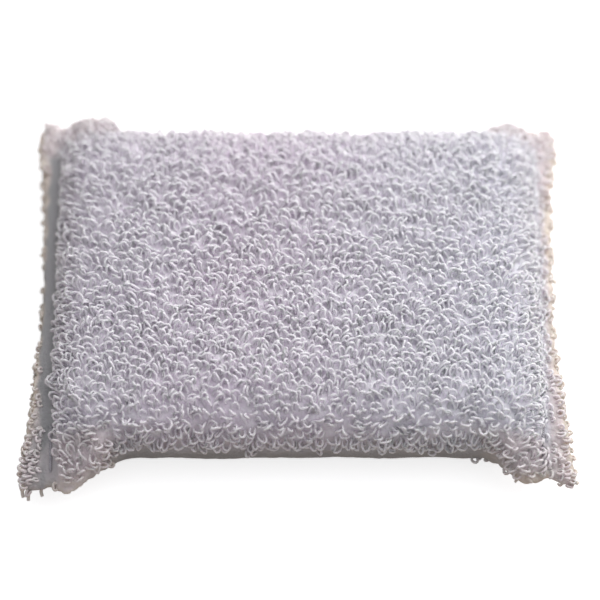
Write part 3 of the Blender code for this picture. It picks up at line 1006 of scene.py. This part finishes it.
def sweep_yarn(tree, given, curves):
    """Gives the curves their round section, and stores where each face is along and around the yarn."""
    spline = add(tree, "GeometryNodeSplineParameter")
    top = bulge(tree, out(spline, "Factor"))
    curves = stored(tree, curves, "yarn_along", out(spline, "Length"))
    curves = stored(tree, curves, "yarn_top", calc(tree, "MULTIPLY", top, top))
    ring = add(tree, "GeometryNodeCurvePrimitiveCircle", {"mode": "RADIUS"}, Resolution=YARN_SIDES, Radius=1.0)
    ring_place = out(add(tree, "GeometryNodeInputPosition"))
    ring = stored(tree, out(ring), "yarn_around", ring_place, "FLOAT_VECTOR")
    radius = calc(tree, "MULTIPLY", given["Yarn Radius"], named(tree, "yarn_swell"))
    return out(add(tree, "GeometryNodeCurveToMesh", Curve=curves, Profile_Curve=ring, Scale=radius, Fill_Caps=True))


def finish_tree(tree, given, result, mesh):
    mesh = out(add(tree, "GeometryNodeSetShadeSmooth", Geometry=mesh))
    mesh = out(add(tree, "GeometryNodeRealizeInstances", Geometry=mesh))
    mesh = out(add(tree, "GeometryNodeSetMaterial", Geometry=mesh, Material=given["Yarn"]))
    tree.links.new(mesh, result["Geometry"])
    return tree


curves = keep_off_floor(tree, given, curl(tree, given, curves))
GROW_LOOPS = finish_tree(tree, given, result, sweep_yarn(tree, given, curves))
print("nodes in the loop tree:", len(GROW_LOOPS.nodes))

# %% [markdown]
# Each patch is a piece of its own that starts as the ground cloth and comes out of the tree as loops only. The loops
# stand closest on the top and at the ends.

# %% Pile of every patch
PATCH_SPACING = {"top": 1.35 * MM, "underside": 1.9 * MM, "front": 1.55 * MM, "back": 1.45 * MM,
                 "left": 1.35 * MM, "right": 1.35 * MM}


def set_inputs(modifier, values):
    """Sets a node modifier's inputs by their sockets' identifiers."""
    sockets = {item.name: item.identifier for item in modifier.node_group.interface.items_tree
               if item.item_type == "SOCKET" and item.in_out == "INPUT"}
    for name, value in values.items():
        modifier[sockets[name]] = value


def grow_pile(number, patch):
    piece = put_in_scene(f"pile_{patch}", ground.data)
    grower = piece.modifiers.new("grow", "NODES")
    grower.node_group = GROW_LOOPS
    spacing = PATCH_SPACING[patch.split("_")[0]]
    set_inputs(grower, {"Patch": number, "Seed": number + 1, "Yarn": YARN, "Spacing": spacing})
    bake_modifiers(piece)
    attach(piece, "root")
    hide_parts("terry_cover")
    triangles = sum(len(face.vertices) - 2 for face in piece.data.polygons)
    print(piece.name, "has", triangles, "triangles")
    return triangles


total = sum(grow_pile(number, patch) for number, patch in enumerate(PATCHES))
print("triangles of pile in all:", total)

# %% [markdown]
# ## Loose ends
# A few loops at the front left corner have been pulled open, and their cut ends hang out.

# %% Cut yarns
LOOSE_ENDS = (
    ((-72.4, -53.8, 7.4), (-73.8, -55.4, 6.6), (-74.4, -56.6, 5.2), (-74.0, -57.6, 4.2)),
    ((-71.6, -54.4, 7.0), (-71.9, -56.0, 6.4), (-72.6, -57.2, 5.4), (-72.6, -58.4, 4.0)),
    ((-68.6, -53.6, 6.6), (-68.8, -55.2, 6.2), (-69.3, -56.4, 5.4), (-68.9, -57.2, 4.2)),
)  # in mm, from the cloth out to the cut
LOOSE_RADIUS = 0.48 * MM


def add_loose_ends():
    curve = bpy.data.curves.new("loose_yarn_ends", "CURVE")
    curve.dimensions = "3D"
    curve.bevel_depth = LOOSE_RADIUS
    curve.bevel_resolution = 2
    curve.use_fill_caps = True
    for places in LOOSE_ENDS:
        spline = curve.splines.new("NURBS")
        spline.points.add(len(places) - 1)
        spline.use_endpoint_u = True
        spline.order_u = 3
        spline.resolution_u = 6
        for point, place in zip(spline.points, places):
            point.co = (*(value * MM for value in place), 1.0)
    shape = put_in_scene("loose_yarn_ends", curve)
    mesh = evaluated_mesh(shape, shape.name)
    bpy.data.objects.remove(shape)
    piece = put_in_scene("loose_yarn_ends", mesh)
    mesh.materials.clear()
    mesh.materials.append(YARN)
    # The loose ends take the full painted highlight of a loop's top, the flanges' cream and the rims' painted beige
    # reflection.
    for name in ("cream", "rim", "yarn_top", "tip_highlight"):
        store(mesh, name, np.ones(len(mesh.vertices), dtype=np.float32), "FLOAT")
    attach(piece, "root")
    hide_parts("terry_cover")


add_loose_ends()
print("loose ends of yarn:", len(LOOSE_ENDS))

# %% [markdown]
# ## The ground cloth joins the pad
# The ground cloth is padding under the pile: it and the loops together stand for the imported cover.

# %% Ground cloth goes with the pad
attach(ground, "root")
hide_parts("terry_cover")
print("the ground cloth stands for terry_cover")
